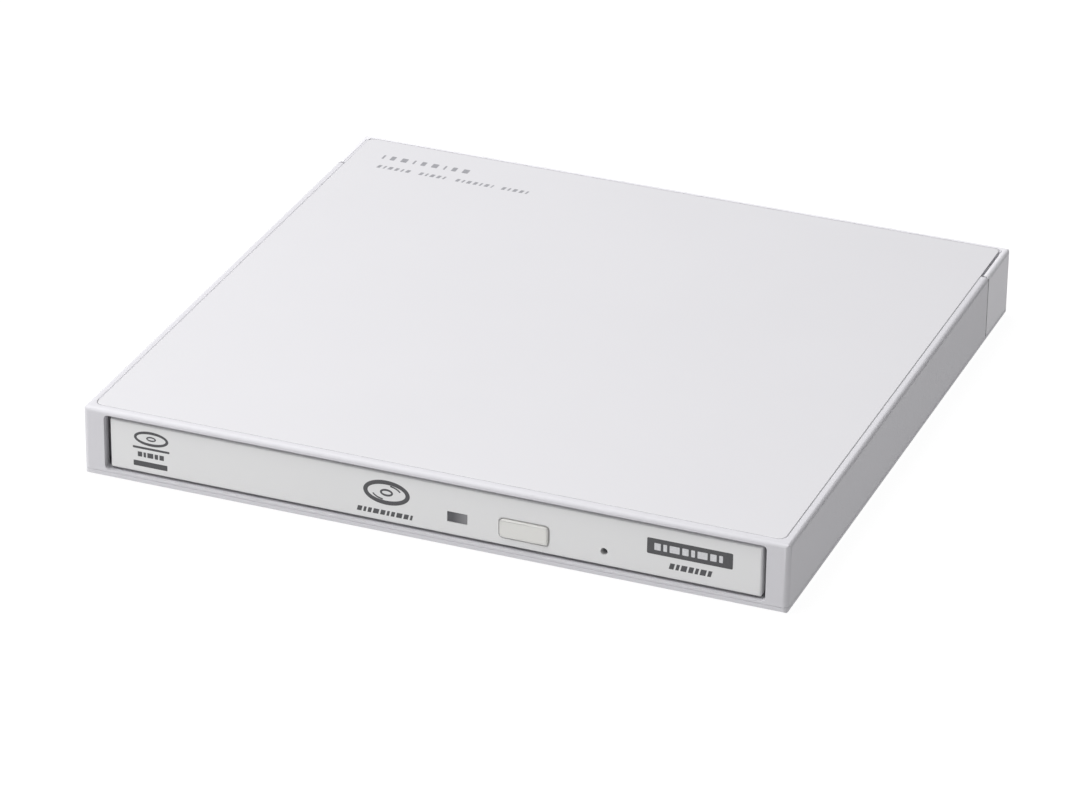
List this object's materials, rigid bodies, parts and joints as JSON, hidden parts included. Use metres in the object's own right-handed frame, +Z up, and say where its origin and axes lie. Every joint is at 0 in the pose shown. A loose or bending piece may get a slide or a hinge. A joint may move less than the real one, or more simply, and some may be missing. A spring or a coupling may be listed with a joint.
{
  "type": "external optical drive",
  "caption": "Slim white external optical disc drive with a slide-out tray, front eject button, status light and rear USB socket.",
  "frame": {"origin": "centre of the footprint on the table, under the feet", "axes": "+X to the right seen from the front, -Y out of the tray's bezel, +Z up"},
  "size_m": [0.1386, 0.132, 0.0144],
  "materials": {
    "panel_plastic": "satin white",
    "shell_plastic": "satin white",
    "bezel_plastic": "fine satin light grey",
    "foot_rubber": "matt",
    "screw_steel": "zinc plated",
    "foam": "open foam",
    "sheet_steel": "rolled",
    "rail_steel": "greased",
    "port_steel": "polished",
    "spring_steel": "drawn wire",
    "traverse_steel": "dark coating",
    "pickup_metal": "die cast",
    "rotor_aluminium": "turned",
    "circuit_board": "solder mask",
    "chip_plastic": "moulded",
    "connector_plastic": "moulded",
    "tray_plastic": "fine texture",
    "nut_plastic": "natural acetal",
    "flex_film": "laminated film",
    "motor_copper": "wound wire",
    "light_pipe": "smoky clear",
    "lens_glass": "coated"
  },
  "bodies": {
    "case": {"top_panel": "panel_plastic", "upper_frame": "shell_plastic", "rear_cover": "shell_plastic", "bottom_cover": "shell_plastic", "rubber_feet": "foot_rubber", "case_screws": "screw_steel", "foam_pads": "foam", "drive_brackets": "sheet_steel", "bracket_screws": "screw_steel", "bridge_board": "circuit_board", "bridge_chips": "chip_plastic", "board_screws": "screw_steel", "usb_port_shell": "port_steel", "usb_port_tongue": "connector_plastic", "sata_plug": "connector_plastic", "chassis_base": "sheet_steel", "chassis_cover": "sheet_steel", "chassis_screws": "screw_steel", "interface_board": "circuit_board", "interface_chips": "chip_plastic", "sata_socket": "connector_plastic", "left_rail": "rail_steel", "right_rail": "rail_steel", "latch_pin": "port_steel", "flex_fixed_run": "flex_film"},
    "left_slide_body": {"left_slide": "rail_steel"},
    "right_slide_body": {"right_slide": "rail_steel"},
    "flex_loop_body": {"flex_loop": "flex_film"},
    "tray_body": {"tray": "tray_plastic", "bezel": "bezel_plastic", "led_window": "light_pipe", "tray_board": "circuit_board", "tray_board_chips": "chip_plastic", "eject_switch": "connector_plastic", "tray_bottom_cover": "sheet_steel", "traverse_chassis": "traverse_steel", "traverse_cover": "tray_plastic", "traverse_dampers": "foot_rubber", "traverse_screws": "screw_steel", "guide_rods": "port_steel", "sled_motor": "port_steel", "spindle_stator": "motor_copper", "motor_screws": "screw_steel", "latch_solenoid": "motor_copper", "latch_pivot": "port_steel", "flex_moving_run": "flex_film", "flex_connector": "connector_plastic", "eject_spring": "spring_steel"},
    "rotor_body": {"spindle_rotor": "rotor_aluminium", "turntable_pad": "foot_rubber", "hub_claws": "connector_plastic"},
    "pickup_sled": {"pickup_body": "pickup_metal", "pickup_cover": "sheet_steel", "rack_nut": "nut_plastic"},
    "lens_actuator": {"lens_holder": "connector_plastic", "objective_lenses": "lens_glass"},
    "lead_screw_body": {"lead_screw": "port_steel"},
    "latch_body": {"latch_lever": "traverse_steel"},
    "button_body": {"eject_button": "bezel_plastic"},
    "plunger_body": {"eject_plunger": "nut_plastic"}
  },
  "joints": [
    {"name": "tray_slide", "type": "slide", "parent": "case", "child": "tray_body", "axis": [0, -1, 0], "range_m": [0, 0.127]},
    {"name": "left_slide_run", "type": "slide", "parent": "case", "child": "left_slide_body", "axis": [0, -1, 0], "range_m": [0, 0.0635]},
    {"name": "right_slide_run", "type": "slide", "parent": "case", "child": "right_slide_body", "axis": [0, -1, 0], "range_m": [0, 0.0635]},
    {"name": "flex_loop_run", "type": "slide", "parent": "case", "child": "flex_loop_body", "axis": [0, -1, 0], "range_m": [0, 0.0635]},
    {"name": "plunger_run", "type": "slide", "parent": "tray_body", "child": "plunger_body", "axis": [0, 1, 0], "range_m": [0, 0.012], "deforming": ["eject_spring"]},
    {"name": "button_press", "type": "slide", "parent": "tray_body", "child": "button_body", "axis": [0, 1, 0], "range_m": [0, 0.0006], "stiffness_N_per_m": 1500},
    {"name": "latch_swing", "type": "hinge", "parent": "tray_body", "child": "latch_body", "pos_m": [0.05, -0.057, 0.0047], "axis": [0, 0, 1], "range_deg": [0, 12]},
    {"name": "spindle_spin", "type": "hinge", "parent": "tray_body", "child": "rotor_body", "pos_m": [0, 0, 0.008], "axis": [0, 0, 1], "continuous": true},
    {"name": "sled_run", "type": "slide", "parent": "tray_body", "child": "pickup_sled", "axis": [-0.7071, -0.7071, 0], "range_m": [0, 0.032]},
    {"name": "lead_screw_spin", "type": "hinge", "parent": "tray_body", "child": "lead_screw_body", "pos_m": [-0.01676, -0.03981, 0.0061], "axis": [-0.7071, -0.7071, 0], "range_deg": [0, 3860]},
    {"name": "lens_focus", "type": "slide", "parent": "pickup_sled", "child": "lens_actuator", "axis": [0, 0, 1], "range_m": [-0.0003, 0.0003], "stiffness_N_per_m": 60}
  ],
  "couplings": [
    {"joint": "left_slide_run", "follows": "tray_slide", "ratio": 0.5},
    {"joint": "right_slide_run", "follows": "tray_slide", "ratio": 0.5},
    {"joint": "flex_loop_run", "follows": "tray_slide", "ratio": 0.5},
    {"joint": "plunger_run", "follows": "tray_slide", "ratio": 0.09449},
    {"joint": "lead_screw_spin", "follows": "sled_run", "rad_per_m": 2094.4}
  ]
}
